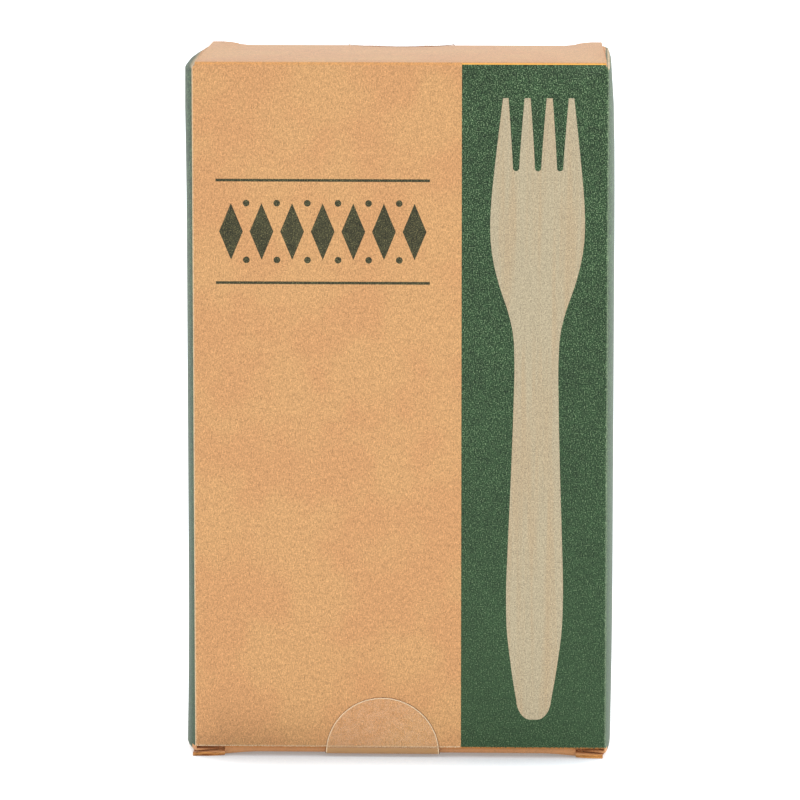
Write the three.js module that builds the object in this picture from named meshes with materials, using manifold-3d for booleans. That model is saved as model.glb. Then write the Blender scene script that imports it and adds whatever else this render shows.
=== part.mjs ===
// A paperboard carton for wooden forks: a tall folded box with a tuck lid at each end.
//
// The top lid hinges on the front panel and tucks in behind the back panel. The bottom lid hinges on
// the back panel and tucks in behind the front panel. So each end is the other one, turned half
// round about the X axis, and one set of functions makes both. Each lid has a slit at both ends of
// its tuck fold, which leaves a small ear in line with the lid, over the edge of a dust flap.
// A round film seal holds each lid shut.
//
// Millimetres, +Z up, the front panel faces -Y. Whatever describes an end is written for the top.

import * as THREE from 'three';
import { mergeVertices } from 'three/addons/utils/BufferGeometryUtils.js';
import Module from 'manifold-3d';

const wasm = await Module();
wasm.setup();

// Driving sizes

const panelWidth = 105;       // front and back panels, over their upright folds
const cartonDepth = 60;
const cartonHeight = 177.8;
const board = 0.5;            // thickness of the board
const foldRadius = 0.9;       // outside radius of every fold

const leftBow = 2.5;          // how far the left wall stands out, halfway up
const leftEndFlare = 0.6;     // how much further it stands out near its two ends
const rightBow = 1.6;
const rightEndFlare = -0.5;   // below zero, it stands out less there
const flareReach = 45;        // height over which a wall's flare dies away
const bowPower = 4;           // 2 would be a round bow: the forks press the wall flatter
const wallRoll = 1;           // height in which a bowed wall rolls in to its end fold
const rollShare = 0.45;       // 1 would roll it in to a straight fold

const lidShelf = 0.9;         // from the lid's face down to the dust flaps beside it
const lidBed = 2;             // how deep the lid and the folded flaps under it are one block
const lidBedInset = 3;        // from a panel's end to that block
const tuckGap = 0.2;          // between the tuck flap and the panel that it goes behind
const tuckGrooveDepth = 1.2;  // of that gap, below the panel's raw edge
const pocketDepth = 2.6;      // how far the opening beside an ear goes in
const lockGap = 0.4;          // between an ear's tip and the dust flap under it
const flapSetback = 0.35;     // from the panel's face to the dust flap's cut edge
const flapTaper = 2;          // how far that edge draws back along the slit
const flapTipInset = 1.8;     // from the slit's end to the flap's tip

const seamFromCorner = 1.1;   // raw edge of the back panel, beside its right-hand fold
const seamWidth = 0.25;
const seamDepth = 0.3;

const sealRadius = 14.6;
const sealFilm = 0.12;        // thickness of the film
const sealClearance = 0.08;   // between the film and the curved lid

// What differs between the two ends. A lid's face dips towards its tuck fold, and more under a seal.
const ends = {
  top: {
    earThickness: 0.5,
    slitLength: 8.4,          // of the slit at each end of the tuck fold
    lidReach: [50.8, 50.7],   // from the middle to the lid's left and right corners at the tuck
    panelDrop: 1.05,          // from the end's plane to the raw edge of the panel behind the tuck
    flapShows: false,
    dip: 0.8,
    dipStart: 4.4,            // from a panel's end to where the lid begins to dip
    dipRamp: 7,               // over which the dip grows along the fold
    dipLength: 50,            // over which it grows towards the fold
    notch: 0.5,
    notchLength: 12,
    sealX: -1.6,
    sealShift: -4.5,          // how far the seal's middle lies below the edge
    sealBend: 0.15,           // radius at which its film turns over the edge
  },
  bottom: {
    earThickness: 1,
    slitLength: 7.7,
    lidReach: [53, 51.7],
    panelDrop: 2.6,
    flapShows: true,
    dip: 1,
    dipStart: 1.9,
    dipRamp: 15,
    dipLength: 40,
    notch: 0,
    notchLength: 12,
    sealX: -4.5,
    sealShift: 0,
    sealBend: 0.6,
  },
};

// How finely curves are divided.

const foldSteps = 5;
const wallSteps = 14;
const turnPasses = 8;
const rollSteps = 5;
const rollPower = 1.3;        // crowds the rings towards the end fold
const flareStep = 12;
const dipStep = 4;
const notchStep = 1.2;
const spanStep = 2.6;
const sealRows = 9;
const sealColumns = 12;
const bendSteps = 4;

const halfWidth = panelWidth / 2;
const halfDepth = cartonDepth / 2;
const past = 2;               // how far a cutter runs past what it cuts
const crestY = halfDepth - board - tuckGap;

// Solids from meshes

/** The boolean solid of a closed geometry. */
function solidOf(geometry) {
  geometry.deleteAttribute('normal');
  geometry.deleteAttribute('uv');
  const merged = mergeVertices(geometry, 1e-5);
  const corners = merged.index.array;
  const triVerts = [];
  for (let i = 0; i < corners.length; i += 3) {
    const [a, b, c] = [corners[i], corners[i + 1], corners[i + 2]];
    if (a !== b && b !== c && c !== a) triVerts.push(a, b, c);
  }
  return new wasm.Manifold(new wasm.Mesh({
    numProp: 3,
    vertProperties: new Float32Array(merged.attributes.position.array),
    triVerts: new Uint32Array(triVerts),
  }));
}

/** The geometry of a boolean solid. */
function geometryOf(solid) {
  const mesh = solid.getMesh();
  const geometry = new THREE.BufferGeometry();
  geometry.setAttribute('position', new THREE.BufferAttribute(mesh.vertProperties, 3));
  geometry.setIndex(new THREE.BufferAttribute(mesh.triVerts, 1));
  geometry.computeVertexNormals();
  return geometry;
}

/** A geometry through rings of equal length, each a flat closed outline, with its two ends capped. */
function loft(rings, flatten) {
  const count = rings[0].length;
  const index = [];
  for (let r = 0; r + 1 < rings.length; r++) {
    for (let i = 0; i < count; i++) {
      const next = (i + 1) % count;
      const [a, b] = [r * count + i, r * count + next];
      index.push(a, b, b + count, a, b + count, a + count);
    }
  }
  const addCap = (ring, first, facesBack) => {
    const outline = ring.map(flatten);
    const turn = Math.sign(THREE.ShapeUtils.area(outline));
    for (const [a, b, c] of THREE.ShapeUtils.triangulateShape(outline, [])) {
      const corner = [outline[a], outline[b], outline[c]];
      const alike = Math.sign(THREE.ShapeUtils.area(corner)) === turn;
      const face = alike !== facesBack ? [a, b, c] : [a, c, b];
      index.push(...face.map((i) => first + i));
    }
  };
  addCap(rings[0], 0, true);
  addCap(rings.at(-1), (rings.length - 1) * count, false);
  const geometry = new THREE.BufferGeometry();
  const positions = rings.flat().flatMap((p) => [p.x, p.y, p.z]);
  geometry.setAttribute('position', new THREE.Float32BufferAttribute(positions, 3));
  geometry.setIndex(index);
  return geometry;
}

/** A solid through outlines in Y and Z, one at each x: [y, z] pairs, anticlockwise seen from +X. */
function loftAlongX(places, outlineAt) {
  const rings = places.map((x) => outlineAt(x).map(([y, z]) => new THREE.Vector3(x, y, z)));
  return solidOf(loft(rings, (p) => new THREE.Vector2(p.y, p.z)));
}

/** A box between two corners. */
function boxBetween([x0, y0, z0], [x1, y1, z1]) {
  const geometry = new THREE.BoxGeometry(Math.abs(x1 - x0), Math.abs(y1 - y0), Math.abs(z1 - z0));
  geometry.translate((x0 + x1) / 2, (y0 + y1) / 2, (z0 + z1) / 2);
  return solidOf(geometry);
}

/** An upright prism over [x, y] corners. */
function prism(corners, low, high) {
  const shape = new THREE.Shape(corners.map(([x, y]) => new THREE.Vector2(x, y)));
  const geometry = new THREE.ExtrudeGeometry(shape, { depth: high - low, bevelEnabled: false });
  geometry.translate(0, 0, low);
  return solidOf(geometry);
}

/** Numbers from start to end, both included, no further apart than step. */
function spread(start, end, step) {
  const parts = Math.max(1, Math.ceil(Math.abs(end - start) / step));
  return Array.from({ length: parts + 1 }, (_, i) => start + ((end - start) * i) / parts);
}

// The sleeve: four panels, with the side walls bowed out by the load

/** How a wall of a given bow leaves its upright fold, and how far its middle stands out from there. */
function wallCurve(bow) {
  let turn = 0;
  let curve;
  for (let pass = 0; pass < turnPasses; pass++) {
    const halfChord = halfDepth - foldRadius + foldRadius * Math.sin(turn);
    const rise = bow + foldRadius * (1 - Math.cos(turn));
    turn = Math.atan((bowPower * rise) / halfChord);
    curve = { turn, halfChord, rise };
  }
  return curve;
}

/** The bow of a wall at a height, where shelf is how far the height is from the nearer dust flap. */
function bowAt(bow, flare, shelf) {
  const nearEnd = Math.max(0, 1 - (shelf + lidShelf) / flareReach);
  const rolled = rollShare * Math.max(0, 1 - shelf / wallRoll);
  return (bow + flare * nearEnd ** 2) * Math.sqrt(1 - rolled ** 2);
}

/** Half of the sleeve's outline, from front to back on the +X side. Inset draws the wall in. */
function halfOutline(bow, inset) {
  const { turn, halfChord, rise } = wallCurve(bow);
  const fold = [];
  for (let i = 0; i <= foldSteps; i++) {
    const angle = ((Math.PI / 2 - turn) * i) / foldSteps;
    fold.push([
      halfWidth - foldRadius + (foldRadius - inset) * Math.sin(angle),
      foldRadius * (1 - Math.cos(angle)) - halfDepth,
    ]);
  }
  const wall = [];
  const foldEnd = fold.at(-1);
  for (let i = 1; i < wallSteps; i++) {
    const across = Math.sin((Math.PI / 2) * ((2 * i) / wallSteps - 1));
    const out = rise * (1 - Math.abs(across) ** bowPower);
    wall.push([foldEnd[0] + out, halfChord * across]);
  }
  const backFold = fold.toReversed().map(([x, y]) => [x, -y]);
  return [...fold, ...wall, ...backFold];
}

/** The sleeve's closed outline, shelf above the nearer dust flap. Its sides draw in at that fold. */
function sleeveRing(z, shelf) {
  const inFold = Math.max(0, foldRadius - shelf);
  const inset = foldRadius - Math.sqrt(foldRadius ** 2 - inFold ** 2);
  const right = halfOutline(bowAt(rightBow, rightEndFlare, shelf), inset);
  const left = halfOutline(bowAt(leftBow, leftEndFlare, shelf), inset);
  const ring = [...right, ...left.reverse().map(([x, y]) => [-x, y])];
  return ring.map(([x, y]) => new THREE.Vector3(x, y, z));
}

/** The sleeve with the four folds into the dust flaps, solid inside. */
function sleeve() {
  const shelves = Array.from({ length: rollSteps + 1 }, (_, i) => wallRoll * (i / rollSteps) ** rollPower);
  shelves.push(...spread(wallRoll, flareReach - lidShelf, flareStep).slice(1));
  const lower = shelves.map((shelf) => sleeveRing(lidShelf + shelf, shelf));
  const upper = shelves.toReversed().map((shelf) => sleeveRing(cartonHeight - lidShelf - shelf, shelf));
  return solidOf(loft([...lower, ...upper], (p) => new THREE.Vector2(p.x, p.y)));
}

// One end of the carton

/** From 0 to 1 with no corner at either end. */
function ease(share) {
  const t = Math.min(1, Math.max(0, share));
  return t * t * (3 - 2 * t);
}

/** How far below the end's plane the lid's face lies. */
function faceDip(end, x, y) {
  const fromFlat = halfWidth - end.dipStart - Math.abs(x);
  const along = Math.max(0, (y - crestY) / end.dipLength + 1);
  const whole = end.dip * ease(fromFlat / end.dipRamp) * along ** 2;
  const aside = Math.min(1, Math.abs(x - end.sealX) / sealRadius);
  const near = Math.max(0, (y - crestY) / end.notchLength + 1);
  return whole + end.notch * Math.cos((Math.PI / 2) * aside) ** 2 * ease(near);
}

/** The lid with the round hinge fold at its front, and the block of folded flaps that it lies on. */
function lidBlock(end) {
  const width = 2 * (halfWidth + past);
  const under = cartonHeight - lidShelf;
  const shape = new THREE.Shape();
  shape.moveTo(-halfDepth, under);
  shape.lineTo(halfDepth, under);
  shape.lineTo(halfDepth, cartonHeight);
  shape.lineTo(foldRadius - halfDepth, cartonHeight);
  shape.absarc(foldRadius - halfDepth, cartonHeight - foldRadius, foldRadius, Math.PI / 2, Math.PI, false);
  shape.closePath();
  const geometry = new THREE.ExtrudeGeometry(shape, {
    depth: width,
    bevelEnabled: false,
    curveSegments: foldSteps,
  });
  geometry.translate(0, 0, -width / 2);
  const yzx = new THREE.Matrix4().makeBasis(
    new THREE.Vector3(0, 1, 0),
    new THREE.Vector3(0, 0, 1),
    new THREE.Vector3(1, 0, 0),
  );
  const bed = boxBetween(
    [lidBedInset - halfWidth, lidBedInset - halfDepth, under - lidBed],
    [halfWidth - lidBedInset, halfDepth - lidBedInset, under + lidShelf / 2],
  );
  const hingeReach = halfWidth - foldRadius;
  const [left, right] = end.lidReach;
  const plan = prism([
    [-hingeReach, -halfDepth],
    [hingeReach, -halfDepth],
    [right, halfDepth],
    [-left, halfDepth],
  ], under - past, cartonHeight + past);
  return solidOf(geometry.applyMatrix4(yzx)).intersect(plan).add(bed);
}

/** What is cut away above the lid's dipped face. */
function faceCutter(end) {
  const outer = halfWidth - end.dipStart;
  const inner = Math.min(outer, halfWidth - end.slitLength);
  const side = outer > inner ? spread(inner, outer, spanStep).slice(1) : [];
  const places = [
    ...side.toReversed().map((x) => -x),
    ...spread(-inner, inner, spanStep),
    ...side,
  ];
  const first = crestY - end.dipLength;
  const rows = [
    ...spread(first, crestY - end.notchLength, dipStep),
    ...spread(crestY - end.notchLength, crestY - foldRadius, notchStep).slice(1),
    halfDepth + past,
  ];
  return loftAlongX(places, (x) => [
    ...rows.map((y) => [y, cartonHeight - faceDip(end, x, Math.min(y, crestY - foldRadius))]),
    [halfDepth + past, cartonHeight + past],
    [first, cartonHeight + past],
  ]);
}

/** What is cut away behind the tuck fold, down to the panel's raw edge and into the gap before it. */
function tuckCutter(end) {
  const inner = halfWidth - end.slitLength;
  const centreY = crestY - foldRadius;
  const edge = cartonHeight - end.panelDrop;
  const floor = edge - tuckGrooveDepth;
  return loftAlongX(spread(-inner, inner, spanStep), (x) => {
    const crest = cartonHeight - faceDip(end, x, centreY);
    const fold = Array.from({ length: foldSteps + 1 }, (_, i) => {
      const angle = ((Math.PI / 2) * i) / foldSteps;
      return [centreY + foldRadius * Math.sin(angle), crest - foldRadius * (1 - Math.cos(angle))];
    });
    return [
      ...fold,
      [crestY, floor],
      [halfDepth - board, floor],
      [halfDepth - board, edge],
      [halfDepth + past, edge],
      [halfDepth + past, cartonHeight + past],
      [centreY, cartonHeight + past],
    ];
  });
}

/** The opening between an ear and the panel's raw edge. */
function pocketCutter(end, side) {
  const places = spread(halfWidth - end.slitLength, halfWidth + leftBow + past, spanStep);
  const signed = places.map((x) => side * x).sort((a, b) => a - b);
  const inside = halfDepth - pocketDepth;
  return loftAlongX(signed, (x) => {
    const ceiling = cartonHeight - end.earThickness - faceDip(end, x, crestY);
    return [
      [inside, cartonHeight - end.panelDrop],
      [halfDepth + past, cartonHeight - end.panelDrop],
      [halfDepth + past, ceiling],
      [inside, ceiling],
    ];
  });
}

/** The dust flap and the side wall it folds from, where they pass through that opening. */
function flapInPocket(end, side, wholeSleeve) {
  const high = cartonHeight - end.earThickness - lockGap;
  const inside = halfDepth - pocketDepth - lockGap;
  const outside = halfWidth + leftBow + past;
  const front = halfDepth - flapSetback;
  const tip = halfWidth - end.slitLength + flapTipInset;
  const flap = prism([
    [side * tip, inside],
    [side * outside, inside],
    [side * outside, front],
    [side * (halfWidth - foldRadius), front],
    [side * tip, front - flapTaper],
  ], high - board, high);
  const wall = boxBetween(
    [side * (halfWidth - board), inside, cartonHeight - end.panelDrop - lockGap],
    [side * outside, front, high],
  );
  return flap.add(wall).intersect(wholeSleeve);
}

/** Turns an end made for the top into the bottom one. */
function turnedOver(solid) {
  return solid.translate([0, 0, -cartonHeight]).rotate([180, 0, 0]);
}

/** The sleeve closed by a lid at one end, as if that end were the top. */
function closeEnd(carton, end, wholeSleeve) {
  let closed = carton.add(lidBlock(end)).subtract(faceCutter(end)).subtract(tuckCutter(end));
  for (const side of [-1, 1]) {
    closed = closed.subtract(pocketCutter(end, side));
    if (end.flapShows) closed = closed.add(flapInPocket(end, side, wholeSleeve));
  }
  return closed;
}

/** The whole carton. */
function carton() {
  const wholeSleeve = sleeve();
  const bottomClosed = closeEnd(turnedOver(wholeSleeve), ends.bottom, turnedOver(wholeSleeve));
  const bothClosed = closeEnd(turnedOver(bottomClosed), ends.top, wholeSleeve);
  const seam = boxBetween(
    [halfWidth - seamFromCorner - seamWidth, halfDepth - seamDepth, lidShelf + foldRadius],
    [halfWidth - seamFromCorner, halfDepth + past, cartonHeight - lidShelf - foldRadius],
  );
  return bothClosed.subtract(seam);
}

// The seals

/** The film's inner face and its normal, v millimetres along it from the middle of its bend. */
function filmAt(end, x, v) {
  const { sealBend } = end;
  const half = (sealBend * Math.PI) / 4;
  const heightAt = (y) => {
    const dip = faceDip(end, x, Math.min(y, crestY - foldRadius));
    return cartonHeight + sealClearance - Math.min(dip, end.panelDrop - sealBend);
  };
  const top = heightAt(halfDepth);
  if (v < -half) {
    return { y: halfDepth, z: top - sealBend + v + half, ny: 1, nz: 0 };
  }
  if (v <= half) {
    const angle = (v + half) / sealBend;
    const [ny, nz] = [Math.cos(angle), Math.sin(angle)];
    return { y: halfDepth - sealBend + sealBend * ny, z: top - sealBend + sealBend * nz, ny, nz };
  }
  const y = halfDepth - sealBend - (v - half);
  return { y, z: heightAt(y), ny: 0, nz: 1 };
}

/** A round film, bent over the edge between a lid and the panel it tucks behind. */
function seal(end) {
  const half = (end.sealBend * Math.PI) / 4;
  const rim = (v) => Math.sqrt(Math.max(0, sealRadius ** 2 - (v - end.sealShift) ** 2));
  const eased = (start, stop) => Array.from({ length: sealRows + 1 }, (_, i) =>
    start + (stop - start) * Math.sin(((Math.PI / 2) * i) / sealRows));
  const rows = [
    ...eased(-half, end.sealShift - sealRadius).reverse(),
    ...spread(-half, half, (2 * half) / bendSteps).slice(1, -1),
    ...eased(half, end.sealShift + sealRadius),
  ];
  const sheet = (lift) => rows.flatMap((v) => Array.from({ length: sealColumns + 1 }, (_, i) => {
    const x = end.sealX + rim(v) * ((2 * i) / sealColumns - 1);
    const { y, z, ny, nz } = filmAt(end, x, v);
    return new THREE.Vector3(x, y + lift * ny, z + lift * nz);
  }));
  const inner = sheet(0);
  const outer = sheet(sealFilm);
  const across = sealColumns + 1;
  const index = [];
  const quad = (a, b, c, d) => index.push(a, b, c, a, c, d);
  for (let r = 0; r + 1 < rows.length; r++) {
    for (let i = 0; i < sealColumns; i++) {
      const at = r * across + i;
      const above = at + inner.length;
      quad(at, at + 1, at + across + 1, at + across);
      quad(above, above + across, above + across + 1, above + 1);
    }
    const start = r * across;
    const stop = start + sealColumns;
    quad(start, start + across, start + across + inner.length, start + inner.length);
    quad(stop, stop + inner.length, stop + across + inner.length, stop + across);
  }
  for (let i = 0; i < sealColumns; i++) {
    const last = (rows.length - 1) * across + i;
    quad(i, i + inner.length, i + 1 + inner.length, i + 1);
    quad(last, last + 1, last + 1 + inner.length, last + inner.length);
  }
  const geometry = new THREE.BufferGeometry();
  const positions = [...inner, ...outer].flatMap((p) => [p.x, p.y, p.z]);
  geometry.setAttribute('position', new THREE.Float32BufferAttribute(positions, 3));
  geometry.setIndex(index);
  return solidOf(geometry);
}

// The group

function piece(name, solid, material) {
  const mesh = new THREE.Mesh(geometryOf(solid), material);
  mesh.name = name;
  return mesh;
}

const kraftBoard = new THREE.MeshStandardMaterial({ color: 0xd8a473, roughness: 0.85, metalness: 0 });
const clearFilm = new THREE.MeshStandardMaterial({ color: 0xe4cdb4, roughness: 0.3, metalness: 0 });

/** From the middle to where a wall stands out most, halfway up or near an end. */
function reachOf(bow, flare) {
  return halfWidth + Math.max(bow, bowAt(bow, flare, wallRoll));
}

const pack = new THREE.Group();
pack.position.x = (reachOf(leftBow, leftEndFlare) - reachOf(rightBow, rightEndFlare)) / 2;
pack.add(
  piece('carton', carton(), kraftBoard),
  piece('seal_top', seal(ends.top), clearFilm),
  piece('seal_bottom', turnedOver(seal(ends.bottom)), clearFilm),
);

export default pack;
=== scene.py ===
# %% [markdown]
# A kraft carton of wooden forks, dressed for its picture.
#
# The real object is one sheet of brown board, printed green in a band, folded into a
# sleeve with a tuck lid at each end, and held shut by two round film seals. The packed
# CAD model already has the folds, the slit-lock corners and the seals at their real size,
# so this lesson loads it as a fixed frame and gives it its print, paper, wear and light.

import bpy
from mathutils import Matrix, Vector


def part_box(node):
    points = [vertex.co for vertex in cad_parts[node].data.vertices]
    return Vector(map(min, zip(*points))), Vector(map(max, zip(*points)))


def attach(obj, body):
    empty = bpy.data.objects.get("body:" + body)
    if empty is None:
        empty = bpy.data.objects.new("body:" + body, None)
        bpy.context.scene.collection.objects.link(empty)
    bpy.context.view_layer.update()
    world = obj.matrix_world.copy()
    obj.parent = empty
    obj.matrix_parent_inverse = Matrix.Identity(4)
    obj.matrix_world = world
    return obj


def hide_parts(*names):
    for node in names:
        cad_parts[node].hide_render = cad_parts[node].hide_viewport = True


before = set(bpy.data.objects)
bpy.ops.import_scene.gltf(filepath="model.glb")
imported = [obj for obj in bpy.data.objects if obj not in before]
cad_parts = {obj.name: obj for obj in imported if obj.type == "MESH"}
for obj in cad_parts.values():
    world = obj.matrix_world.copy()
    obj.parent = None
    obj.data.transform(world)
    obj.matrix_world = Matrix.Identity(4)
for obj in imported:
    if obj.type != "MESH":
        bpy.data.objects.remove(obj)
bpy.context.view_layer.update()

import math

import bmesh
import bpy
import numpy as np
from mathutils import Vector
from mathutils.geometry import delaunay_2d_cdt

MM = 0.001
print("CAD nodes:", sorted(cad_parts))

# %% [markdown]
# Everything that follows is placed from the carton's own faces. The front panel is the
# flat face that looks towards -Y, so its corners give the panel's middle, its height and
# the radius of the folds beside it. Measuring the frame, and not typing the numbers again,
# keeps the print on the board if the CAD model is ever packed at another size.

# %% Measure the front panel
LID_ZONE = 5             # the lids and their ears are this near to the carton's ends

carton_low, carton_high = (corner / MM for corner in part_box("carton"))
carton_points = np.array([v.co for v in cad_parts["carton"].data.vertices]) / MM
front_y, back_y = carton_low.y, carton_high.y
middle_z = (carton_low.z + carton_high.z) / 2
half_height = (carton_high.z - carton_low.z) / 2
front_points = carton_points[np.abs(carton_points[:, 1] - front_y) < 1e-3]
fold_radius = carton_high.z - front_points[:, 2].max()
clear_of_lids = np.abs(front_points[:, 2] - middle_z) < half_height - LID_ZONE
panel_left = front_points[clear_of_lids, 0].min()
panel_right = front_points[clear_of_lids, 0].max()
panel_middle = (panel_left + panel_right) / 2
half_flat = (panel_right - panel_left) / 2
half_panel = half_flat + fold_radius
print(f"front panel {2 * half_panel:.1f} mm wide, folds of radius {fold_radius:.2f} mm")

# %% [markdown]
# The printed layout. On the real pack a dark green band covers the right of the front and
# runs over both side walls, and a life-size wooden fork is printed on the band. Lettering
# and marks are left off: the plain kraft field holds two rules and a chain of lozenges,
# an ornament that belongs to nobody. Heights are above the floor, and places across are
# from the panel's middle, all in millimetres.

# %% Sizes of the print
BAND_LEFT = 15.5
FOLD_PRINT = 0.49        # how far behind a panel's face the green of a wall ends, on the fold
FRONT_PRINT_TOP = 177.3
PANEL_EDGE = 2.6         # height of the front panel's raw lower edge

FORK_LENGTH = 158.9
FORK_TIP_HEIGHT = 168.9
FORK_TIP_X = 34.75
FORK_END_X = 34.0
FORK_HALF_WIDTHS = (
    (0, 8.93), (18, 10.93), (26, 11.68), (32.5, 11.92), (36, 11.8), (42, 10.93),
    (48, 9.35), (54, 7.28), (60, 5.92), (66, 5.58), (78, 5.7), (91, 6.05),
    (103, 6.47), (115, 6.92), (127, 7.22), (137, 6.87), (143, 6.13), (149, 5.27),
    (154, 4.4),
)
FORK_END_FLAT = 0.8
SLOT_PITCH = 5.54
SLOT_DEPTH = 18.4
SLOT_HALF_AT_TIP = 2.02
SLOT_HALF_AT_ROOT = 0.8

ORNAMENT_LEFT = -46.5
ORNAMENT_RIGHT = 7.5
RULE_THICKNESS = 0.7
RULE_HEIGHTS = (148.0, 122.0)
LOZENGE_COUNT = 7
LOZENGE_HALF_HEIGHT = 7.2
LOZENGE_HALF_WIDTH = 3.0
DOT_RADIUS = 0.85

# %% [markdown]
# The fork's outline is a smooth curve through a few half-widths, with three tapering
# slots between the tines that end in half circles, and a rounded handle end. A spline in
# the curve editor could do it too, but a list of widths reads like the maker's drawing.

# %% Draw the printed fork
def smooth_through(stations, at):
    """Cubic through the stations, with each slope taken from its neighbours."""
    along, value = (np.array(column, float) for column in zip(*stations))
    slope = np.gradient(value, along)
    i = np.clip(np.searchsorted(along, at, side="right") - 1, 0, len(along) - 2)
    step = along[i + 1] - along[i]
    t = (at - along[i]) / step
    rise = value[i] * (1 + 2 * t) * (1 - t) ** 2 + value[i + 1] * t * t * (3 - 2 * t)
    return rise + step * (slope[i] * t * (1 - t) ** 2 - slope[i + 1] * t * t * (1 - t))


def fork_side():
    """Points (half width, distance from the tine tips) down one side and round the end."""
    last_along, last_half = FORK_HALF_WIDTHS[-1]
    down = np.linspace(0, last_along, 56)
    side = [(float(smooth_through(FORK_HALF_WIDTHS, d)), float(d)) for d in down]
    corner_height = FORK_LENGTH - last_along
    for k in range(1, 9):
        turn = math.pi / 2 * k / 8
        half = FORK_END_FLAT + (last_half - FORK_END_FLAT) * math.cos(turn)
        side.append((half, last_along + corner_height * math.sin(turn) ** 1.15))
    return side


def slot_outline(centre):
    """One slot between two tines, from its left lip down, round its root and up again."""
    straight = SLOT_DEPTH - SLOT_HALF_AT_ROOT
    left = []
    for k in range(10):
        t = k / 9
        half = SLOT_HALF_AT_ROOT + (SLOT_HALF_AT_TIP - SLOT_HALF_AT_ROOT) * (1 - t) ** 1.15
        left.append((centre - half, straight * t))
    root = []
    for k in range(1, 8):
        turn = math.pi * k / 8
        root.append((centre - SLOT_HALF_AT_ROOT * math.cos(turn),
                     straight + SLOT_HALF_AT_ROOT * math.sin(turn)))
    right = [(2 * centre - across, down) for across, down in reversed(left)]
    return left + root + right


def fork_outline():
    """The whole outline on the panel, as (across from the panel's middle, height)."""
    side = fork_side()
    around = side + [(-half, down) for half, down in reversed(side)]
    for centre in (-SLOT_PITCH, 0, SLOT_PITCH):
        around += slot_outline(centre)
    placed = []
    for across, down in around:
        lean = FORK_TIP_X + (FORK_END_X - FORK_TIP_X) * down / FORK_LENGTH
        placed.append((lean + across, FORK_TIP_HEIGHT - down))
    return placed


print("fork outline:", len(fork_outline()), "points")

# %% [markdown]
# The ornament is drawn from the same kind of loops: two rules, a chain of lozenges
# between them and a dot between each two lozenges. Loops of points are enough, because
# each becomes a field of ink on the flat panel.

# %% Draw the plain ornament
def bar(left, right, height):
    low, high = height - RULE_THICKNESS / 2, height + RULE_THICKNESS / 2
    return [(left, low), (right, low), (right, high), (left, high)]


def lozenge(x, z):
    return [(x - LOZENGE_HALF_WIDTH, z), (x, z - LOZENGE_HALF_HEIGHT),
            (x + LOZENGE_HALF_WIDTH, z), (x, z + LOZENGE_HALF_HEIGHT)]


def dot(x, z, points=20):
    turns = [2 * math.pi * k / points for k in range(points)]
    return [(x + DOT_RADIUS * math.cos(t), z + DOT_RADIUS * math.sin(t)) for t in turns]


def ornament_loops():
    loops = [bar(ORNAMENT_LEFT, ORNAMENT_RIGHT, height) for height in RULE_HEIGHTS]
    chain_z = sum(RULE_HEIGHTS) / 2
    pitch = (ORNAMENT_RIGHT - ORNAMENT_LEFT) / LOZENGE_COUNT
    for k in range(LOZENGE_COUNT):
        x = ORNAMENT_LEFT + pitch * (k + 0.5)
        loops.append(lozenge(x, chain_z))
        if k:
            for z in (chain_z - LOZENGE_HALF_HEIGHT, chain_z + LOZENGE_HALF_HEIGHT):
                loops.append(dot(x - pitch / 2, z))
    return loops


print("ornament:", len(ornament_loops()), "loops")

# %% [markdown]
# Materials next. Kraft board is short brown fibres pressed flat: its colour wanders in
# soft clouds, it is flecked with darker and lighter fibres, and it has a fine dry grain.
# All of it can be painted by noise that is measured in millimetres on the board itself,
# so it stays put from every side. A few small helpers keep the node code readable.

# %% Helpers for node materials
def linear(red, green, blue):
    """A colour read off a screen, 0 to 255, as the linear values a shader takes."""
    def straighten(c):
        return c / 12.92 if c <= 0.04045 else ((c + 0.055) / 1.055) ** 2.4

    return tuple(straighten(c / 255) for c in (red, green, blue)) + (1.0,)


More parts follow.
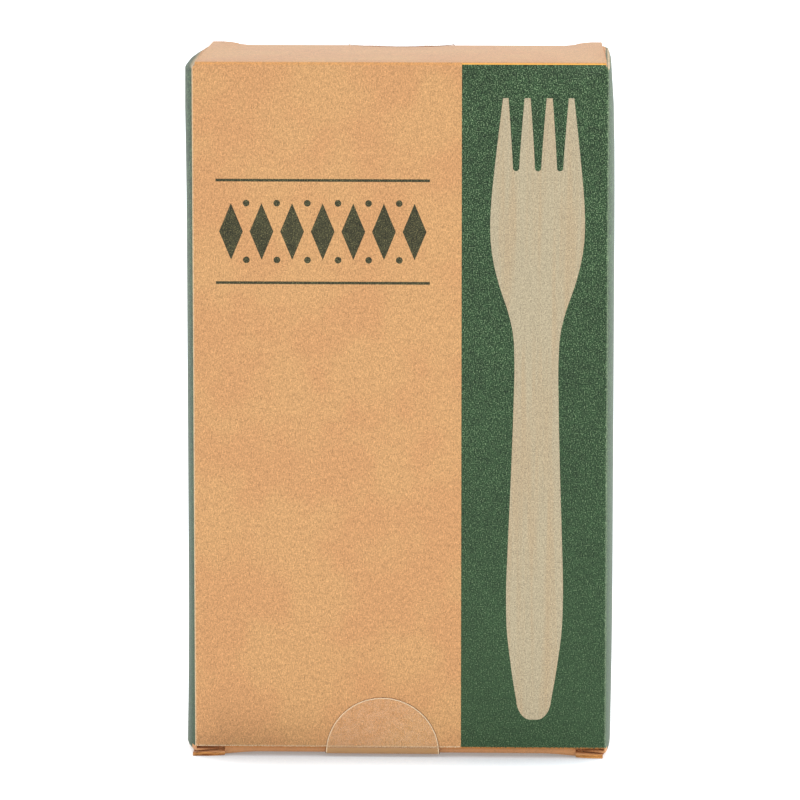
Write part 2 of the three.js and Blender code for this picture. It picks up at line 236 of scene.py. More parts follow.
class Finish:
    """One material and the short calls that wire its nodes."""

    def __init__(self, name, roughness, specular=0.3):
        self.material = bpy.data.materials.new(name)
        self.material.use_nodes = True
        self.nodes = self.material.node_tree.nodes
        self.links = self.material.node_tree.links
        self.shader = self.nodes["Principled BSDF"]
        self.shader.inputs["Roughness"].default_value = roughness
        self.shader.inputs["Specular IOR Level"].default_value = specular
        place = self.nodes.new("ShaderNodeTexCoord")
        in_mm = self.nodes.new("ShaderNodeVectorMath")
        in_mm.operation = "SCALE"
        in_mm.inputs["Scale"].default_value = 1 / MM
        self.links.new(place.outputs["Object"], in_mm.inputs[0])
        self.place = in_mm.outputs["Vector"]
        split = self.nodes.new("ShaderNodeSeparateXYZ")
        self.links.new(self.place, split.inputs[0])
        self.x, self.y, self.z = split.outputs

    def put(self, socket, value):
        if isinstance(value, bpy.types.NodeSocket):
            self.links.new(value, socket)
        else:
            socket.default_value = value

    def math(self, operation, a, b=0.0, clamp=False):
        node = self.nodes.new("ShaderNodeMath")
        node.operation = operation
        node.use_clamp = clamp
        self.put(node.inputs[0], a)
        self.put(node.inputs[1], b)
        return node.outputs[0]

    def ramp(self, value, start, end, to_start=0.0, to_end=1.0, smooth=True):
        """value from start to end becomes to_start to to_end, and stays there outside."""
        node = self.nodes.new("ShaderNodeMapRange")
        node.interpolation_type = "SMOOTHSTEP" if smooth else "LINEAR"
        for socket, number in zip(node.inputs, (value, start, end, to_start, to_end)):
            self.put(socket, number)
        return node.outputs[0]

    def stretched(self, x=1.0, y=1.0, z=1.0, turn=0.0):
        node = self.nodes.new("ShaderNodeMapping")
        node.inputs["Scale"].default_value = (x, y, z)
        node.inputs["Rotation"].default_value = (0, turn, 0)
        self.links.new(self.place, node.inputs["Vector"])
        return node.outputs[0]

    def noise(self, per_mm, detail=2.0, rough=0.5, at=None):
        node = self.nodes.new("ShaderNodeTexNoise")
        node.inputs["Scale"].default_value = per_mm
        node.inputs["Detail"].default_value = detail
        node.inputs["Roughness"].default_value = rough
        self.links.new(at or self.place, node.inputs["Vector"])
        return node.outputs["Fac"]

    def mix(self, share, a, b, blend="MIX"):
        node = self.nodes.new("ShaderNodeMix")
        node.data_type = "RGBA"
        node.blend_type = blend
        self.put(node.inputs["Factor"], share)
        self.put(node.inputs[6], a)
        self.put(node.inputs[7], b)
        return node.outputs[2]

    def shade(self, colour, amount):
        """colour made lighter or darker by amount, where 1 leaves it as it is."""
        grey = self.nodes.new("ShaderNodeCombineXYZ")
        for socket in grey.inputs:
            self.links.new(amount, socket)
        return self.mix(1.0, colour, grey.outputs[0], "MULTIPLY")

    def bump(self, height, depth_mm, strength):
        node = self.nodes.new("ShaderNodeBump")
        node.inputs["Strength"].default_value = strength
        node.inputs["Distance"].default_value = depth_mm * MM
        self.links.new(height, node.inputs["Height"])
        self.links.new(node.outputs["Normal"], self.shader.inputs["Normal"])

    def mixed(self, parts, *names):
        """The mean of a few noises."""
        total = parts[names[0]]
        for name in names[1:]:
            total = self.math("ADD", total, parts[name])
        return self.math("MULTIPLY", total, 1 / len(names))

    def nap(self, weight, roughness):
        self.shader.inputs["Sheen Weight"].default_value = weight
        self.shader.inputs["Sheen Roughness"].default_value = roughness

    def colour(self, socket):
        self.links.new(socket, self.shader.inputs["Base Color"])
        return self.material


print("helpers ready")

# %% [markdown]
# The fibres come from noise squeezed hard in one direction, so that its blobs become
# short strokes. Three sets that lie at different angles look like pulp. Grain and specks
# are much finer. The same strokes and grain also raise the surface a few hundredths of a
# millimetre, which is what makes the board look dry and not like plastic.

# %% Paper fibre and grain
def pulp(finish):
    """Clouds, mottle, fibres, grain and specks, each 0 to 1 with its middle at 0.5."""
    first, second, third = (
        finish.noise(1.0, 2, 0.6, finish.stretched(4.2, 4.2, 1.1, turn))
        for turn in (0.5, -0.9, 1.6)
    )
    total = finish.math("ADD", finish.math("ADD", first, second), third)
    fibres = finish.math("MULTIPLY", total, 1 / 3)
    return {
        "clouds": finish.noise(0.06, 3),
        "mottle": finish.noise(0.5, 3, 0.6),
        "fibres": fibres,
        "specks": finish.noise(1.5, 1, 0.5),
        "grain": finish.noise(3.2, 1, 0.7),
    }


def spread(finish, parts, shares, strength=None):
    """1 plus each noise's distance from its middle times its share."""
    total = 0.0
    for name, share in shares.items():
        swing = finish.math("MULTIPLY", finish.math("SUBTRACT", parts[name], 0.5), share)
        total = finish.math("ADD", total, swing)
    if strength is not None:
        total = finish.math("MULTIPLY", total, strength)
    return finish.math("ADD", total, 1.0)


print("pulp ready")

# %% [markdown]
# Folded board wears first along its folds: the fibres crack, the ink flakes and a paler
# line shows; on the upright folds that paler line is also a painted highlight of their
# rounding. A fold is where the board is beyond its flats in two directions at once, so
# one product of two soft steps finds every fold of the box, with no painting by hand.

# %% Find the folds
def beyond(finish, socket, middle, half, soft=0.3):
    """0 on the flat, 1 past its end, from how far the place is from the box's middle."""
    away = finish.math("ABSOLUTE", finish.math("SUBTRACT", socket, middle))
    return finish.ramp(away, half - soft, half + soft)


def both(finish, *masks):
    shared = masks[0]
    for mask in masks[1:]:
        shared = finish.math("MULTIPLY", shared, mask)
    return shared


def fold_masks(finish):
    past_x = beyond(finish, finish.x, panel_middle, half_flat + 0.5, 0.15)
    past_y = beyond(finish, finish.y, 0.0, back_y - fold_radius + 0.25)
    past_z = beyond(finish, finish.z, middle_z, half_height - fold_radius + 0.25)
    wall_end = beyond(finish, finish.z, middle_z, half_height - 2 * fold_radius + 0.2, 0.35)
    return {
        "upright": both(finish, past_x, past_y),
        "level": both(finish, past_y, past_z),
        "wall_end": both(finish, beyond(finish, finish.x, panel_middle, half_flat + 0.5), wall_end),
    }


def only_between(finish, socket, low, high, soft=0.08):
    """1 from low to high, and 0 outside."""
    rising = finish.ramp(socket, low - soft, low + soft)
    return both(finish, rising, finish.ramp(socket, high + soft, high - soft))


def front_lower_edge(finish, height):
    """The last sliver of the front panel above its raw edge."""
    edge_z = carton_low.z + PANEL_EDGE
    low = only_between(finish, finish.z, edge_z - 0.3, edge_z + height)
    return both(finish, low, finish.ramp(finish.y, front_y + 0.25, front_y + 0.15))


print("fold finder ready")

# %% [markdown]
# Kraft board first. Its brown was read from the panel in even light. The upright folds
# are pale cream, partly worn and partly a painted highlight of their rounding, and the
# level ones a warm orange where raw fibre shows. The tuck fold under the front panel's
# raw edge is darkened with painted shade, with a bright orange painted highlight just
# under that edge, and the last sliver of the panel above its raw edge is paler, partly
# worn and partly a painted highlight. Paper has a fine nap that catches light at a low
# angle, and sheen gives exactly that: seen along its face, as the lid is, the board looks
# paler than when it is seen square on.

# %% Kraft board
KRAFT = linear(194, 146, 98)
KRAFT_RED = linear(191, 138, 93)
KRAFT_YELLOW = linear(196, 152, 101)
CREAM_WEAR_AND_HIGHLIGHT = linear(214, 190, 156)
FOLD_ORANGE = linear(222, 158, 92)
FOLD_BRIGHT = linear(240, 176, 84)
TUCK_FOLD_PAINTED_SHADE = linear(194, 136, 92)
TUCK_LINE_HIGHLIGHT = linear(206, 134, 66)


def kraft_colour(finish, parts):
    warm = finish.ramp(parts["clouds"], 0.38, 0.62)
    base = finish.mix(warm, KRAFT_RED, KRAFT_YELLOW)
    base = finish.mix(0.6, base, KRAFT)
    shares = {"mottle": 0.34, "fibres": 1.75, "specks": 0.55, "grain": 1.1}
    return finish.shade(base, spread(finish, parts, shares))


def kraft_board():
    finish = Finish("kraft_board", 0.82, 0.25)
    finish.nap(0.22, 0.35)
    parts = pulp(finish)
    folds = fold_masks(finish)
    broken = finish.ramp(finish.mixed(parts, "fibres", "grain"), 0.42, 0.58)
    colour = kraft_colour(finish, parts)
    # The upright folds' pale cream is partly wear and partly a painted highlight of their rounding.
    cream_wear_and_highlight = both(finish, folds["upright"], finish.ramp(broken, 0, 1, 0.35, 0.85))
    colour = finish.mix(cream_wear_and_highlight, colour, CREAM_WEAR_AND_HIGHLIGHT)
    orange = both(finish, folds["level"], finish.ramp(broken, 0, 1, 0.2, 0.65))
    colour = finish.mix(orange, colour, FOLD_ORANGE)
    band_x = panel_middle + BAND_LEFT
    over_band = both(
        finish,
        finish.ramp(finish.x, band_x - 0.05, band_x + 0.05),
        only_between(finish, finish.z, carton_high.z - 0.53, carton_high.z - 0.22),
        finish.ramp(finish.y, front_y + 0.55, front_y + 0.4),
    )
    colour = finish.mix(over_band, colour, FOLD_BRIGHT)
    # Painted shade: the tuck fold under the front panel's raw edge is darkened.
    tuck = both(finish, finish.ramp(finish.z, PANEL_EDGE, PANEL_EDGE - 0.05),
                finish.ramp(finish.y, front_y + 3.0, front_y + 2.5))
    colour = finish.mix(both(finish, tuck, finish.ramp(broken, 0, 1, 0.45, 0.9)), colour, TUCK_FOLD_PAINTED_SHADE)
    # Painted highlight: a bright orange line just under the front panel's raw edge.
    tuck_highlight_line = both(finish, tuck, finish.ramp(finish.z, PANEL_EDGE - 0.45, PANEL_EDGE - 0.25))
    tuck_highlight_line = both(finish, tuck_highlight_line, finish.ramp(parts["mottle"], 0.35, 0.6, 0.25, 0.9))
    colour = finish.mix(tuck_highlight_line, colour, TUCK_LINE_HIGHLIGHT)
    # The last sliver above the front panel's raw edge is paler, partly worn and partly a painted
    # highlight.
    colour = finish.mix(both(finish, front_lower_edge(finish, 0.35), broken), colour, CREAM_WEAR_AND_HIGHLIGHT)
    relief = finish.math("ADD", parts["fibres"], finish.math("MULTIPLY", parts["grain"], 0.6))
    finish.bump(relief, 0.06, 0.4)
    return finish.colour(colour)


print("made", kraft_board.__name__)

# %% [markdown]
# The green is a thin matt ink. It doesn't cover: fibres that stood proud of the sheet
# took no ink and show as pale specks, and the hollows hold more and are darker. The
# specks and the mottle grow stronger towards the top. Along the upright folds the ink is
# a paler grey green, partly worn and partly a painted highlight of the fold's rounding,
# and at the walls' ends it has flaked off to bare board. The last sliver of ink above the
# front panel's raw edge is orange, partly bare board and partly a painted highlight.

# %% Green ink
INK_GREEN = linear(47, 74, 45)
INK_DEEP = linear(20, 42, 20)
INK_SPECK = linear(112, 134, 98)
INK_WORN_AND_HIGHLIT = linear(118, 134, 108)
BARE_BOARD = linear(214, 184, 142)
RIM_ORANGE_AND_HIGHLIGHT = linear(204, 130, 66)
INK_OLIVE = linear(62, 62, 40)
OLIVE_DEEP = linear(48, 46, 30)
OLIVE_SPECK = linear(104, 96, 62)


def inked(name, ink, deep, speck, worn_and_highlit, roughness=0.7):
    finish = Finish(name, roughness, 0.3)
    finish.nap(0.2, 0.25)
    parts = pulp(finish)
    folds = fold_masks(finish)
    fine = finish.mixed(parts, "fibres", "grain")
    # Specks, hollows and mottle grow stronger towards the top.
    up = finish.ramp(finish.z, 20, 165, 0.7, 1.7, smooth=False)
    hollow = finish.math("MULTIPLY", finish.ramp(fine, 0.53, 0.40), up, clamp=True)
    proud = finish.math("MULTIPLY", finish.ramp(fine, 0.51, 0.66), up, clamp=True)
    colour = finish.mix(hollow, ink, deep)
    colour = finish.mix(proud, colour, speck)
    shares = {"clouds": 0.5, "mottle": 1.0, "grain": 0.6}
    colour = finish.shade(colour, spread(finish, parts, shares, up))
    broken = finish.ramp(fine, 0.40, 0.60)
    # The upright folds' grey green is partly worn ink and partly a painted highlight.
    ink_wear_and_highlight = both(finish, folds["upright"], finish.ramp(broken, 0, 1, 0.3, 0.7))
    colour = finish.mix(ink_wear_and_highlight, colour, worn_and_highlit)
    flaked = both(finish, folds["wall_end"], finish.ramp(parts["specks"], 0.36, 0.54, 0.35, 1.0))
    colour = finish.mix(flaked, colour, BARE_BOARD)
    # The last sliver above the front panel's raw edge is orange, partly bare board and partly a
    # painted highlight.
    colour = finish.mix(both(finish, front_lower_edge(finish, 0.2), broken), colour, RIM_ORANGE_AND_HIGHLIGHT)
    finish.bump(fine, 0.05, 0.35)
    return finish.colour(colour)


print("ink recipe ready")

# %% [markdown]
# The printed fork is a picture of planed birch in the same thin ink process, so it is
# pale and a little grey, with faint upright streaks of warmer wood under the same grain.

# %% Printed birch
BIRCH = linear(171, 156, 127)
BIRCH_WARM = linear(175, 150, 117)
BIRCH_PALE = linear(172, 161, 135)


def printed_birch():
    finish = Finish("printed_birch", 0.72, 0.3)
    finish.nap(0.2, 0.3)
    parts = pulp(finish)
    streaks = finish.noise(1.0, 3, 0.55, finish.stretched(0.4, 0.4, 0.02))
    lines = finish.noise(1.0, 2, 0.6, finish.stretched(2.6, 2.6, 0.05))
    colour = finish.mix(finish.ramp(streaks, 0.42, 0.66), BIRCH_PALE, BIRCH_WARM)
    colour = finish.mix(0.6, colour, BIRCH)
    shares = {"clouds": 0.05, "mottle": 0.24, "fibres": 1.35, "specks": 0.35, "grain": 1.45}
    amount = spread(finish, parts, shares)
    swing = finish.math("MULTIPLY", finish.math("SUBTRACT", lines, 0.5), 0.12)
    amount = finish.math("ADD", amount, swing)
    finish.bump(parts["grain"], 0.04, 0.3)
    return finish.colour(finish.shade(colour, amount))


print("made", printed_birch.__name__)

# %% [markdown]
# A cut edge of board is raw: it has no press-smoothed skin, and light soaks into it, so
# it looks more orange than the faces. Fine lines run along it, the plies of the sheet,
# and where an ear lies on a folded flap a dark line runs between the two.

# %% Raw cut edges
EDGE = linear(206, 146, 84)
EDGE_DARK = linear(140, 82, 42)
EAR_JOINT = 0.5          # height of the line between the bottom ears and what lies on them


def raw_edge():
    finish = Finish("raw_edge", 0.9, 0.15)
    parts = pulp(finish)
    plies = finish.noise(1.0, 2, 0.6, finish.stretched(0.25, 0.25, 6.0))
    colour = finish.mix(finish.ramp(plies, 0.55, 0.38), EDGE, EDGE_DARK)
    joint_z = carton_low.z + EAR_JOINT
    joint = only_between(finish, finish.z, joint_z - 0.06, joint_z + 0.06)
    colour = finish.mix(finish.math("MULTIPLY", joint, 0.8), colour, EDGE_DARK)
    finish.bump(plies, 0.05, 0.4)
    return finish.colour(finish.shade(colour, spread(finish, parts, {"fibres": 0.8, "grain": 0.8})))


print("made", raw_edge.__name__)

# %% [markdown]
# Now the board itself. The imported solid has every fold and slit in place, so a copy of
# its mesh is the folded board, and the print is cut into the copy. Each edge of the
# print becomes a real edge of the mesh, which stays sharp at any picture size. An image
# would be blurred when one comes close, and a mask in the shader is hard to draw.

# %% Copy the folded board
board = bmesh.new()
board.from_mesh(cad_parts["carton"].data)
board.transform(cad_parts["carton"].matrix_world)
bmesh.ops.scale(board, vec=(1 / MM,) * 3, verts=board.verts)
bmesh.ops.remove_doubles(board, verts=board.verts, dist=1e-4)


def cut_flat(chosen, point, normal):
    """Cuts the faces that chosen() picks along one plane, so that a print edge can lie there."""
    faces = [f for f in board.faces if chosen(f.calc_center_median())]
    parts = set(faces)
    for face in faces:
        parts.update(face.edges)
        parts.update(face.verts)
    bmesh.ops.bisect_plane(board, geom=list(parts), dist=1e-5, plane_co=point, plane_no=normal)


# %% [markdown]
# The lid presses the bowed walls in where they meet it, so that nothing of the flaps under
# it shows beside it. Level cuts give the walls enough points, those at the flaps' height
# go in to the lid's side line, and the bow comes back over the next few millimetres.

# %% Press the top ends of the walls in
LID_SIDE = (52.0, 51.3)      # the lid's side line from the middle, at its fold and at its end
PRESS_DEPTHS = (1.06, 1.5, 1.9, 2.6, 12.9)        # millimetres below the lid's face
LEFT_SHARES = (0.0, 0.2, 0.55, 0.9, 1.0)
RIGHT_SHARES = (0.0, 0.12, 0.38, 0.55, 0.95)


def press_walls():
    fold_line = half_panel - 0.1
    moved = 0
    for vert in board.verts:
        across = vert.co.x - panel_middle
        below = carton_high.z - vert.co.z
        lid_side = np.interp(vert.co.y, (front_y, back_y), LID_SIDE)
        pressed_to = np.interp(below, PRESS_DEPTHS[:2], (lid_side, fold_line))
        if below > PRESS_DEPTHS[-1] or abs(across) <= pressed_to:
            continue
        share = np.interp(below, PRESS_DEPTHS, RIGHT_SHARES if across > 0 else LEFT_SHARES)
        bow = max(0.0, abs(across) - fold_line)
        vert.co.x = panel_middle + math.copysign(pressed_to + bow * share, across)
        moved += 1
    return moved


for depth in PRESS_DEPTHS[:-1]:
    cut_flat(lambda c: abs(c.x - panel_middle) > half_flat and c.z > middle_z,
             (0, 0, carton_high.z - depth), (0, 0, 1))


print("pressed in", press_walls(), "points")

# %% [markdown]
# Now the print edges that don't lie on the flat of the front panel: the band's left edge
# where it runs over the fold, the top of the print, and the green's end on each fold.

# %% Cut the print edges on the folds
near_front = front_y + fold_radius + 0.1
cut_flat(lambda c: c.y < near_front, (panel_middle + BAND_LEFT, 0, 0), (1, 0, 0))
cut_flat(lambda c: c.y < near_front, (0, 0, FRONT_PRINT_TOP), (0, 0, 1))
cut_flat(lambda c: c.y < front_y + 3 and abs(c.x - panel_middle) > half_flat - 0.1,
         (0, 0, carton_low.z + PANEL_EDGE), (0, 0, 1))
for depth in (front_y + FOLD_PRINT, back_y - FOLD_PRINT):
    cut_flat(lambda c: abs(c.x - panel_middle) > half_flat - 0.1, (0, depth, 0), (0, 1, 0))
print("board:", len(board.verts), "points,", len(board.faces), "faces")

# %% [markdown]
# The front panel is one flat face, so it can be taken out and filled again with a
# triangle net that follows every print outline. A constrained Delaunay net does exactly
# that: it keeps the lines it is given and fills between them with well-shaped triangles.

# %% Cut the print into the front panel
FIELDS = ("kraft", "green", "fork", "olive")
field = board.faces.layers.int.new("field")


def on_front(face):
    flat = all(abs(v.co.y - front_y) < 1e-4 for v in face.verts)
    return flat and face.calc_center_median().z > carton_low.z + PANEL_EDGE - 0.3


def inside(x, z, loop):
    hit = False
    for (x0, z0), (x1, z1) in zip(loop, loop[1:] + loop[:1]):
        if (z0 > z) != (z1 > z) and x < x0 + (z - z0) / (z1 - z0) * (x1 - x0):
            hit = not hit
    return hit


def fill_front():
    old = [f for f in board.faces if on_front(f)]
    rim_edges = [e for f in old for e in f.edges]
    seam = [e for e in set(rim_edges) if abs(e.verts[0].co.x - panel_middle - BAND_LEFT) < 1e-4
            and abs(e.verts[1].co.x - panel_middle - BAND_LEFT) < 1e-4]
    rim = [e for e in set(rim_edges) if rim_edges.count(e) == 1]
    rim_verts = list({v for e in rim for v in e.verts})
    number = {v: i for i, v in enumerate(rim_verts)}
    points = [Vector((v.co.x - panel_middle, v.co.z)) for v in rim_verts]
    lines = [(number[e.verts[0]], number[e.verts[1]]) for e in rim]
    band_ends = sorted((v for e in seam for v in e.verts if v in number), key=lambda v: v.co.z)
    lines.append((number[band_ends[0]], number[band_ends[-1]]))
    fork = fork_outline()
    marks = ornament_loops()
    for loop in [fork] + marks:
        first = len(points)
        points += [Vector(p) for p in loop]
        lines += [(first + k, first + (k + 1) % len(loop)) for k in range(len(loop))]
    places, _, triangles, origins, _, _ = delaunay_2d_cdt(points, lines, [], 1, 1e-5)
    bmesh.ops.delete(board, geom=old, context="FACES_ONLY")
    made = []
    for place, origin in zip(places, origins):
        known = [i for i in origin if i < len(rim_verts)]
        if known:
            made.append(rim_verts[known[0]])
        else:
            made.append(board.verts.new((place.x + panel_middle, front_y, place.y)))
    for triangle in triangles:
        x, z = (sum(places[i][axis] for i in triangle) / 3 for axis in (0, 1))
        face = board.faces.new([made[i] for i in triangle])
        if inside(x, z, fork):
            face[field] = FIELDS.index("fork")
        elif any(inside(x, z, mark) for mark in marks):
            face[field] = FIELDS.index("olive")
        elif x > BAND_LEFT:
            face[field] = FIELDS.index("green")
        face.normal_update()
        if face.normal.y > 0:
            face.normal_flip()
    return len(triangles)


print("front panel:", fill_front(), "triangles")

# %% [markdown]
# The other faces get their paper by where they are and which way they look. The side
# walls are green up to a line on their folds. Upright faces at the lids' sides and the
# ears' tips, and the narrow ends of the panels, are cut edges. All else is kraft.

# %% Give each face its paper
EAR_TOP = 1.0            # an ear's tip ends this far from the carton's end
PANEL_END = 2.7          # and a panel's raw end lies no further than this
OPENING_DEPTH = 2.7      # how far back a slit's opening reaches
PANEL_THICKNESS = 0.52


def is_cut_edge(centre, normal):
    from_end = half_height - abs(centre.z - middle_z)
    from_face = back_y - abs(centre.y)
    lid_side = from_end < fold_radius - 0.02 and abs(normal.x) > 0.7
    beside_tuck = centre.y > 0 if centre.z > middle_z else centre.y < 0
    ear_tip = from_end < EAR_TOP and abs(normal.y) > 0.9 and from_face < 0.02
    panel_end = (EAR_TOP + 0.01 < from_end < PANEL_END and abs(normal.z) > 0.98
                 and from_face < PANEL_THICKNESS)
    return lid_side or (beside_tuck and (ear_tip or panel_end))


def paper_of(centre, normal):
    across = centre.x - panel_middle
    above_low_fold = centre.z > carton_low.z + fold_radius
    below_high_fold = centre.z < carton_high.z - fold_radius
    in_opening = centre.z < PANEL_EDGE and centre.y < front_y + OPENING_DEPTH
    on_wall = (abs(across) > half_flat and abs(centre.y) < back_y - FOLD_PRINT
               and abs(normal.z) < 0.95)
    if on_wall and above_low_fold and below_high_fold and not in_opening:
        return "green"
    on_face = centre.y < front_y + 0.01 or across > half_flat or not below_high_fold
    on_band = across > BAND_LEFT and centre.y < near_front and normal.y < -0.05
    if on_face and on_band and carton_low.z + PANEL_EDGE < centre.z < FRONT_PRINT_TOP:
        return "green"
    return "edge" if is_cut_edge(centre, normal) else "kraft"


PAPERS = ("kraft", "green", "fork", "olive", "edge")
for face in board.faces:
    paper = FIELDS[face[field]]
    if paper == "kraft":
        paper = paper_of(face.calc_center_median(), face.normal)
    face.material_index = PAPERS.index(paper)
counts = {paper: sum(f.material_index == i for f in board.faces) for i, paper in enumerate(PAPERS)}
print("faces by paper:", counts)

# %% [markdown]
# The cut mesh becomes the carton's piece, back in metres. Its bent board is shaded smooth,
# and every edge that turns by more than a fold's facets do stays sharp.

# %% Finish the carton piece
SHARP_FROM = math.radians(28)

bmesh.ops.scale(board, vec=(MM,) * 3, verts=board.verts)
carton_mesh = bpy.data.meshes.new("folded_carton")
board.to_mesh(carton_mesh)
board.free()
carton = bpy.data.objects.new("folded_carton", carton_mesh)
bpy.context.scene.collection.objects.link(carton)
for material in (
    kraft_board(),
    inked("green_ink", INK_GREEN, INK_DEEP, INK_SPECK, INK_WORN_AND_HIGHLIT),
    printed_birch(),
    inked("olive_ink", INK_OLIVE, OLIVE_DEEP, OLIVE_SPECK, OLIVE_SPECK, 0.78),
    raw_edge(),
):
    carton_mesh.materials.append(material)
for polygon in carton_mesh.polygons:
    polygon.use_smooth = True
carton_mesh.set_sharp_from_angle(angle=SHARP_FROM)
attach(carton, "root")
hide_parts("carton")
print("folded_carton:", len(carton_mesh.polygons), "faces")

# %% [markdown]
# The seals are round stickers of thin clear film, folded over the lid's edge onto the
# panel. In the middle they hardly show: a trace of haze over the kraft. Near the cut rim
# the film carries a painted highlight just inside and a painted shadow where it ends,
# stronger on the right, and where the bottom seal bends under the carton it carries an
# orange painted highlight. How far a place is from the sticker's middle is measured
# along the film, up the panel or over the lid.
# The film's glued side lies exactly on the board, and two faces in one plane make false
# shadows, so each seal is a copy of the CAD film with that side lifted by a hair. Its
# outside stays as it is, and so does its size.

# %% Film of the seals
FILM_HAZE = linear(232, 196, 156)
FILM_RIM_HIGHLIGHT = linear(246, 222, 184)
FILM_EDGE_PAINTED_SHADOW = linear(112, 70, 38)
FILM_TURN_HIGHLIGHT = linear(222, 142, 70)
SEAL_RADIUS = 14.6
GLUE = 0.02              # how far the glued side is lifted


def seal_film(node_name):
    low, high = (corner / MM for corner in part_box(node_name))
    at_top = low.z > middle_z
    centre_x = (low.x + high.x) / 2
    centre_z = low.z + SEAL_RADIUS if at_top else high.z - SEAL_RADIUS
    centre_y = low.y + SEAL_RADIUS if at_top else high.y - SEAL_RADIUS
    finish = Finish(node_name + "_film", 0.3, 0.5)
    parts = pulp(finish)
    across = finish.math("SUBTRACT", finish.x, centre_x)
    up_panel = finish.math("SUBTRACT", finish.z, centre_z)
    over_lid = finish.math("SUBTRACT", finish.y, centre_y)
    on_panel = finish.math("GREATER_THAN", finish.math("ABSOLUTE", finish.y), back_y - 0.25)
    along = finish.math("ADD", both(finish, on_panel, up_panel),
                        both(finish, finish.math("SUBTRACT", 1.0, on_panel), over_lid))
    squares = [finish.math("POWER", finish.math("ABSOLUTE", side), 2.0) for side in (across, along)]
    radius = finish.math("SQRT", finish.math("ADD", *squares))
    # rim is a painted highlight just inside the film's cut rim.
    rim = only_between(finish, radius, SEAL_RADIUS - 0.42, SEAL_RADIUS - 0.2, 0.06)
    # end is a painted shadow where the film ends.
    end = finish.ramp(radius, SEAL_RADIUS - 0.18, SEAL_RADIUS - 0.08)
    # turn is an orange painted highlight where the bottom seal bends under the carton.
    turn = finish.ramp(finish.z, carton_low.z + 0.9, carton_low.z + 0.6)
    bridge = finish.ramp(finish.z, carton_low.z + PANEL_EDGE + 0.1, carton_low.z + PANEL_EDGE - 0.3)
    colour = finish.mix(bridge, FILM_HAZE, KRAFT_YELLOW)
    colour = finish.mix(turn, colour, FILM_TURN_HIGHLIGHT)
    colour = finish.mix(rim, colour, FILM_RIM_HIGHLIGHT)
    colour = finish.mix(end, colour, FILM_EDGE_PAINTED_SHADOW)
    alpha = finish.ramp(parts["mottle"], 0.3, 0.7, 0.03, 0.12)
    alpha = finish.math("MAXIMUM", alpha, finish.math("MULTIPLY", bridge, 0.6))
    alpha = finish.math("MAXIMUM", alpha, finish.math("MULTIPLY", rim, 0.55))
    # The painted shadow at the film's end is stronger on the right.
    shaded_side = finish.ramp(across, -8, 10, 0.35, 0.85)
    alpha = finish.math("MAXIMUM", alpha, both(finish, end, shaded_side))
    finish.links.new(alpha, finish.shader.inputs["Alpha"])
    finish.bump(parts["mottle"], 0.05, 0.2)
    return finish.colour(colour)


def film_piece(node_name, outwards):
    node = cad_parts[node_name]
    film = bmesh.new()
    film.from_mesh(node.data)
    film.transform(node.matrix_world)
    film.normal_update()
    glued = [f for f in film.faces if f.normal.dot(Vector(outwards)) < -0.3]
    lifts = {}
    for face in glued:
        for vert in face.verts:
            lifts[vert] = lifts.get(vert, Vector()) - face.normal
    for vert, lift in lifts.items():
        vert.co += lift.normalized() * GLUE * MM
    mesh = bpy.data.meshes.new(node_name + "_film")
    film.to_mesh(mesh)
    film.free()
    piece = bpy.data.objects.new(node_name + "_film", mesh)
    bpy.context.scene.collection.objects.link(piece)
    mesh.materials.append(seal_film(node_name))
    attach(piece, "root")
    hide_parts(node_name)
    return len(mesh.polygons)


print("film of the top seal:", film_piece("seal_top", (0, 1, 1)), "faces")
print("film of the bottom seal:", film_piece("seal_bottom", (0, -1, -1)), "faces")

# %% [markdown]
# The stage: a plain white floor, wide enough to fill the view from every side, and soft
# even light. The real carton stood on a lit white table, so the floor also glows, and
# that light reaches the underside of the lid and the ears. The floor's shadow is painted:
# an ambient occlusion node that leans back dims the glow near the carton, which paints a
# tight soft shadow in front of the carton and next to none at its sides.

# %% Floor and light
FLOOR_RADIUS = 9.0
FLOOR_TINT = (0.5, 0.54, 0.58, 1)
FLOOR_GLOW = 0.9
SHADOW_REACH = 26        # millimetres
SHADOW_LEAN = (0, 0.94, 0.34)


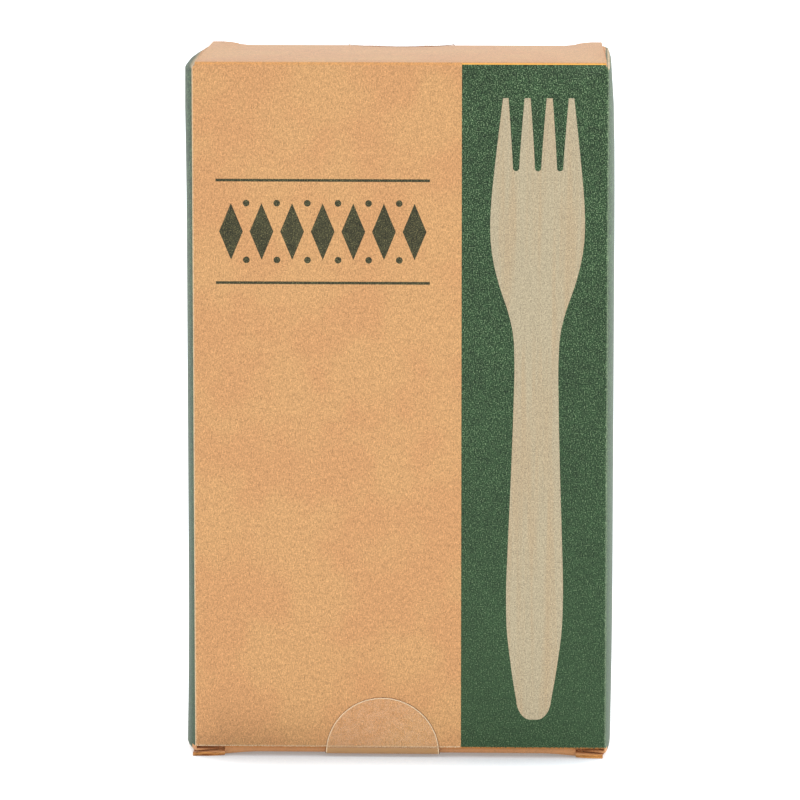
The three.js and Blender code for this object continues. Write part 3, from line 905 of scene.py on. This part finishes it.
def floor():
    mesh = bpy.data.meshes.new("floor")
    round_floor = bmesh.new()
    bmesh.ops.create_circle(round_floor, cap_ends=True, segments=96, radius=FLOOR_RADIUS)
    round_floor.to_mesh(mesh)
    round_floor.free()
    piece = bpy.data.objects.new("floor", mesh)
    bpy.context.scene.collection.objects.link(piece)
    finish = Finish("white_floor", 0.9, 0.1)
    finish.shader.inputs["Base Color"].default_value = FLOOR_TINT
    finish.shader.inputs["Emission Color"].default_value = (1, 1, 1, 1)
    painted_shadow_ao = finish.nodes.new("ShaderNodeAmbientOcclusion")
    painted_shadow_ao.samples = 12
    painted_shadow_ao.inputs["Distance"].default_value = SHADOW_REACH * MM
    lean = finish.nodes.new("ShaderNodeCombineXYZ")
    for socket, share in zip(lean.inputs, SHADOW_LEAN):
        socket.default_value = share
    finish.links.new(lean.outputs[0], painted_shadow_ao.inputs["Normal"])
    # Painted shadow: the floor's glow is dimmed wherever the leaning ambient occlusion finds the
    # carton near.
    glow_with_painted_shadow = finish.ramp(painted_shadow_ao.outputs["AO"], 0.15, 0.8, 0.0, FLOOR_GLOW, smooth=False)
    finish.links.new(glow_with_painted_shadow, finish.shader.inputs["Emission Strength"])
    mesh.materials.append(finish.material)
    return piece


def soft_light(name, place, target, size, watts):
    data = bpy.data.lights.new(name, "AREA")
    data.shape = "DISK"
    data.size = size
    data.energy = watts
    lamp = bpy.data.objects.new(name, data)
    lamp.location = place
    lamp.rotation_euler = (Vector(target) - Vector(place)).to_track_quat("-Z", "Y").to_euler()
    bpy.context.scene.collection.objects.link(lamp)
    return lamp


floor()
world = bpy.data.worlds.new("light_tent")
world.use_nodes = True
world.node_tree.nodes["Background"].inputs["Color"].default_value = (1, 1, 1, 1)
world.node_tree.nodes["Background"].inputs["Strength"].default_value = 1.0
bpy.context.scene.world = world
carton_middle = (0, 0, 0.09)
soft_light("key", (-0.9, -1.5, 1.5), carton_middle, 1.0, 5)
soft_light("right_fill", (1.7, 0.1, 0.7), carton_middle, 1.0, 18)
bpy.context.scene.view_settings.view_transform = "Standard"
print("stage ready")

# %% [markdown]
# The camera stands where the photographer's did. Its distance, height and small turn to
# the right were worked out from the carton's corners: how much the lid narrows towards
# the back gives the distance, and how much of the lid shows gives the height.

# %% Camera
CAMERA_DISTANCE = 1.452
CAMERA_TURN = math.radians(1.84)
CAMERA_RISE = math.radians(8.60)
CAMERA_LENS = 253.0
AIM = Vector(((panel_middle - 0.99) * MM, 0, 0.0877))

camera_data = bpy.data.cameras.new("camera")
camera_data.lens = CAMERA_LENS
camera_data.sensor_width = 36
camera = bpy.data.objects.new("camera", camera_data)
towards = Vector((
    math.sin(CAMERA_TURN) * math.cos(CAMERA_RISE),
    -math.cos(CAMERA_TURN) * math.cos(CAMERA_RISE),
    math.sin(CAMERA_RISE),
))
camera.location = AIM + towards * CAMERA_DISTANCE
camera.rotation_euler = (-towards).to_track_quat("-Z", "Y").to_euler()
bpy.context.scene.collection.objects.link(camera)
bpy.context.scene.camera = camera
print("camera at", [round(c, 3) for c in camera.location])
